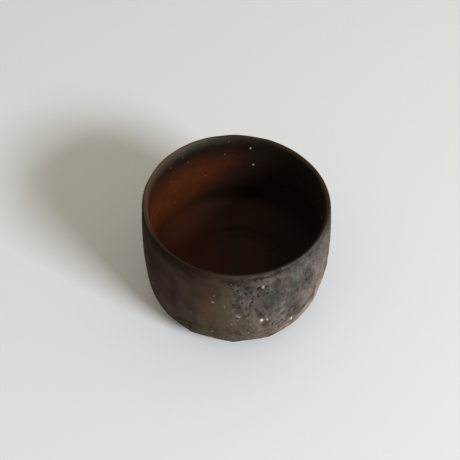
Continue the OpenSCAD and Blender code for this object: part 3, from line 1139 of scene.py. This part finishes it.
def wall_colour(s):
    """Colour of the outside: clay, its stains, and the mottled ash, with painted light on the ash's lumps,
    painted shade between them, and painted shade under the lip and in the hollows.
    """
    s.where = s.stretched(RUN_DOWN)
    ashy = s.mask("ash")
    clay = s.drift(13, CLAY, CLAY_DARK, 3)
    # The ash is paler on its lumps and darker between them: painted light and shade on the relief, mixed
    # with random mottle
    lump_shading = s.plus(s.mask("lump_shading"), s.spread(-0.35, 0.35, 2.6, 5, 0.65))
    ash = s.mix(s.between(lump_shading, 0.1, 0.5), ASH_DARK, ASH)
    ash = s.mix(s.between(lump_shading, 0.55, 0.95), ash, ASH_PALE)
    colour = s.mix(ashy, clay, ash)
    for k, (mask, stain) in enumerate(STAIN_COLOURS.items()):
        least = 0.7 if mask in SOFT_STAINS else 0.4
        patchy = s.between(s.grain(3.4 + 0.6 * k), 0.36, 0.54, least, 1.0)
        colour = s.coat(colour, mask, stain, patchy)
    scraped = s.between(s.streaks(1.2), *DRIFT_SPAN, 0.0, 0.35)
    colour = s.coat(colour, "cut", CLAY_SHADE_AND_SCRAPE, scraped)
    sandy = s.times(s.spread(0.93, 1.07, 1.5, 3), s.spread(0.87, 1.13, 0.45, 2))
    iron = s.plus(s.spots(1.9), s.between(s.grain(5), 0.42, 0.62, 0.25, 0.0))
    soft = s.grey(s.times(sandy, s.between(iron, 0.07, 0.18, 0.5, 1.0)))
    crumbs = s.times(s.between(s.crumbs(2.2), 0.1, 0.9, 0.82, 1.19), s.spread(0.9, 1.1, 1.5, 3))
    harsh = s.grey(s.times(crumbs, s.spread(0.93, 1.07, 0.4, 2)))
    gritty = s.times(ashy, s.between(s.mask("slate"), 0.0, 1.0, 1.0, 0.1))
    colour = s.mix(1.0, colour, s.mix(gritty, soft, harsh), "MULTIPLY")
    tint = s.mix(s.between(gritty, 0.0, 1.0, 0.4, 1.0), WHITE, s.tinted(3.4, 0.92, 1.08))
    colour = s.mix(1.0, colour, tint, "MULTIPLY")
    # Froth and burrs, then painted shade under the lip and in the pits, creases and hollows
    for coat in WALL_COATS:
        colour = s.coat(colour, *coat)
    for mask, tone in LIP_TONES.items():
        colour = s.mix(s.mask(mask), colour, tone)
    return colour


def clay_material():
    s = Shader("stoneware_clay")
    sand = s.plus(s.grain(0.9), s.times(s.grain(0.3, 2), 0.4))
    grooves = s.times(s.mask("cut"), s.streaks(0.9))
    height = s.plus(sand, s.times(grooves, 1.5))
    return s.finish(wall_colour(s), s.spread(0.75, 0.95, 5), 0.02, height, 0.1)


def ash_material():
    s = Shader("kiln_ash")
    crust = s.plus(s.grain(1.1), s.times(s.spots(0.9), -0.9))
    height = s.plus(crust, s.times(s.grain(0.35, 2), 0.4))
    return s.finish(wall_colour(s), s.spread(0.7, 0.95, 3), 0.03, height, 0.12)


# The flashed lining, and the unflashed lining whose darkness is partly painted shade from the rim's cast
# shadow; the lower colours darken the lower wall as painted shade
FLASH = (0.071, 0.0163, 0.0041)
FLASH_DULL = (0.054, 0.0125, 0.0034)
FLASH_DEEP_SHADE = (0.0298, 0.008, 0.00316)
SHADED_UNFLASHED = (0.0214, 0.00947, 0.00613)
SHADED_UNFLASHED_DULL = (0.0165, 0.00799, 0.00567)
SHADED_UNFLASHED_DEEP = (0.0163, 0.00759, 0.00402)
SHADED_UNFLASHED_RIGHT = (0.034, 0.0185, 0.012)
# Corner and floor: redder and brighter on the left, partly the lining's colour and partly painted bounce
# light from the lit wall
CORNER_LEFT = (0.0475, 0.0129, 0.00615)
CORNER_MIDDLE = (0.054, 0.03, 0.019)
FLOOR_LEFT = (0.0912, 0.0297, 0.0158)
FLOOR_MIDDLE = (0.0443, 0.0264, 0.0184)
FLOOR_RIGHT = (0.0275, 0.019, 0.0137)
BAND = (0.0098, 0.008, 0.0056)
BAND_RIGHT = (0.014, 0.012, 0.007)
BLOOM = (0.061, 0.0576, 0.0385)
SPECK = (0.1, 0.05, 0.025)
# The rings on the floor, with painted shade in the grooves and painted light on the ridge: mask, colour,
# share
FLOOR_RING_LIGHT_AND_SHADE = (("groove", (0.022, 0.0115, 0.0066), 0.4), ("ridge", (0.062, 0.037, 0.025), 0.4))
# Each tone of the lining's edge: mask, colour, depth where it starts to fade, and ends
SLIP_EDGES = (
    ("bare", (0.06, 0.036, 0.0195), 3.0, 6.0),
    ("thin", (0.032, 0.0205, 0.0128), 0.8, 1.5),
    ("peach", LIP_TONES["lip_peach"], 0.1, 1.8),
    ("back", LIP_TONES["lip_back"], 0.8, 3.0),
)


def slip_material():
    """The lining: flashed orange on the left, dark on the right, with an ash-dulled band under the lip. The
    dark right side is partly painted shade along the rim's cast shadow, the lining darkens downwards as
    painted shade, and the left of the floor is redder with painted bounce light.
    """
    s = Shader("slip_lining")
    depth, flash_and_shade, left, right = (s.mask(name) for name in ("depth", "flash_and_shade", "left", "right"))
    # The unflashed side's darkness is partly painted shade along the rim's cast shadow
    colour = s.mix(flash_and_shade, s.drift(7, SHADED_UNFLASHED, SHADED_UNFLASHED_DULL, 5), s.drift(9, FLASH, FLASH_DULL, 5))
    # Lower down the lining darkens as painted shade, and the corner and floor turn redder on the left with
    # painted bounce light
    deep_shade = s.mix(flash_and_shade, s.mix(right, SHADED_UNFLASHED_DEEP, SHADED_UNFLASHED_RIGHT), FLASH_DEEP_SHADE)
    corner = s.mix(right, s.mix(left, CORNER_MIDDLE, CORNER_LEFT), FLOOR_RIGHT)
    floor = s.mix(right, s.mix(left, FLOOR_MIDDLE, FLOOR_LEFT), FLOOR_RIGHT)
    layers = ((deep_shade, 35, 55, 0.85), (corner, 57, 64.5, 0.95), (floor, 66, 80, 0.95))
    for tone, start, full, share in layers:
        colour = s.mix(s.between(depth, start, full, 0.0, share), colour, tone)
    # Painted shade in the floor's grooves and painted light on its ridge
    for coat in FLOOR_RING_LIGHT_AND_SHADE:
        colour = s.coat(colour, *coat)
    uneven = s.plus(depth, s.spread(-1.5, 1.5, 8))
    band = s.times(s.between(uneven, 11.5, 26.5, 0.92, 0.0), s.between(s.mask("bare"), 0.0, 1.0, 1.0, 0.3))
    colour = s.mix(band, colour, s.mix(right, BAND, BAND_RIGHT))
    colour = s.coat(colour, "bloom", BLOOM, s.between(uneven, 1.5, 8.0, 0.95, 0.0))
    for mask, tone, full, gone in SLIP_EDGES:
        colour = s.coat(colour, mask, tone, s.between(depth, full, gone, 0.95, 0.0))
    colour = s.mix(s.between(s.spots(2.2), 0.03, 0.09, 0.2, 0.0), colour, SPECK)
    height = s.plus(s.grain(1.6), s.times(s.grain(0.5, 2), 0.3))
    return s.finish(colour, s.spread(0.6, 0.75, 8), 0.03, height, 0.03)


FOOT_CLAY = (0.14, 0.085, 0.055)
FOOT_CLAY_DARK = (0.085, 0.052, 0.034)


def foot_material():
    s = Shader("foot_clay")
    fleck = s.between(s.spots(1.8), 0.05, 0.17, 0.5, 0.0)
    colour = s.mix(fleck, s.drift(7, FOOT_CLAY, FOOT_CLAY_DARK), ASH_PALE)
    return s.finish(colour, s.spread(0.7, 0.9, 4), 0.1, s.grain(0.7), 0.2)


STONE_PALE = (0.57, 0.51, 0.42)
STONE_BUFF = (0.4, 0.34, 0.26)
STONE_RUST = (0.08, 0.056, 0.036)
STONE_DARK = (0.045, 0.032, 0.021)
STONE_SLIPPED = (0.08, 0.026, 0.0105)


def stone_material():
    s = Shader("feldspar")
    patch = s.spread(0.0, 1.0, 0.8)
    dull = s.mix(s.mask("slipped"), s.mix(patch, STONE_RUST, STONE_DARK), STONE_SLIPPED)
    colour = s.mix(s.mask("pale"), dull, s.mix(patch, STONE_PALE, STONE_BUFF))
    return s.finish(colour, s.spread(0.4, 0.6, 0.5), 0.3, s.grain(0.25), 0.06)


# The object

build_body(clay_material())
build_foot(foot_material())
build_slip(slip_material())
build_crust(ash_material())
STONE = stone_material()
build_stones("outer_feldspar", "wall_stones", wall_stone_places(), 0.0, STONE)
build_stones("inner_feldspar", "inner_stones", lining_stone_places(), 1.0, STONE)


# The stage, in metres and degrees

FLOOR_HALF = 12.0
FLOOR_COLOUR = (0.8, 0.8, 0.8)
FILL = (0.455, 0.425, 0.355)
BACKDROP = (0.8, 0.8, 0.8)
KEY_BEARING = 47.5
KEY_RISE = 30.5
KEY_DISTANCE = 2.4
KEY_LEVEL = 1.03
CAMERA_PLACE = (-0.00395, -0.38558, 0.53119)
CAMERA_DOWN = 50.96


def build_floor():
    mesh = bpy.data.meshes.new("floor")
    corners = [(x * FLOOR_HALF, y * FLOOR_HALF, 0) for x, y in ((-1, -1), (1, -1), (1, 1), (-1, 1))]
    mesh.from_pydata(corners, [], [(0, 1, 2, 3)])
    mesh.materials.append(Shader("pale_floor").finish(FLOOR_COLOUR, roughness=0.7, specular=0.1))
    in_scene(mesh)


def build_light():
    """One large soft key from the front right, aimed at the middle of the bowl."""
    data = bpy.data.lights.new("key", "AREA")
    data.shape = "RECTANGLE"
    data.size = 0.75
    data.size_y = 0.5
    data.color = (0.94, 1.0, 1.11)
    data.energy = KEY_LEVEL * (math.pi * KEY_DISTANCE) ** 2
    lamp = in_scene(data)
    rise = math.radians(KEY_RISE)
    height = TOP_Z / 2 * MM + KEY_DISTANCE * math.sin(rise)
    lamp.location = place(KEY_BEARING, KEY_DISTANCE * math.cos(rise), height)
    lamp.rotation_euler = (math.radians(90 - KEY_RISE), 0, math.radians(KEY_BEARING))


def build_world():
    """An even warm fill, and a pale backdrop that only camera, reflected and transmitted rays see."""
    world = bpy.data.worlds.new("studio")
    bpy.context.scene.world = world
    nodes = Nodes(world)
    fill = nodes.tree.nodes["Background"]
    nodes.put(fill.inputs["Color"], FILL)
    drop = nodes.add("ShaderNodeBackground", {"Color": BACKDROP})
    rays = nodes.add("ShaderNodeLightPath").outputs
    seen = rays["Is Camera Ray"]
    for ray in ("Is Glossy Ray", "Is Transmission Ray"):
        seen = nodes.add("ShaderNodeMath", {0: seen, 1: rays[ray]}, operation="MAXIMUM").outputs[0]
    choice = nodes.add("ShaderNodeMixShader", {"Fac": seen, 1: fill.outputs[0], 2: drop.outputs[0]})
    nodes.put(nodes.tree.nodes["World Output"].inputs["Surface"], choice.outputs[0])


def build_camera():
    """The photograph's view, 27 degrees wide."""
    data = bpy.data.cameras.new("camera")
    data.sensor_width = 36.0
    data.lens = 74.1
    data.clip_start = 0.01
    camera = in_scene(data)
    camera.location = CAMERA_PLACE
    camera.rotation_euler = (math.radians(90 - CAMERA_DOWN), 0, 0)
    bpy.context.scene.camera = camera


build_floor()
build_light()
build_world()
build_camera()
bpy.context.scene.view_settings.view_transform = "Standard"
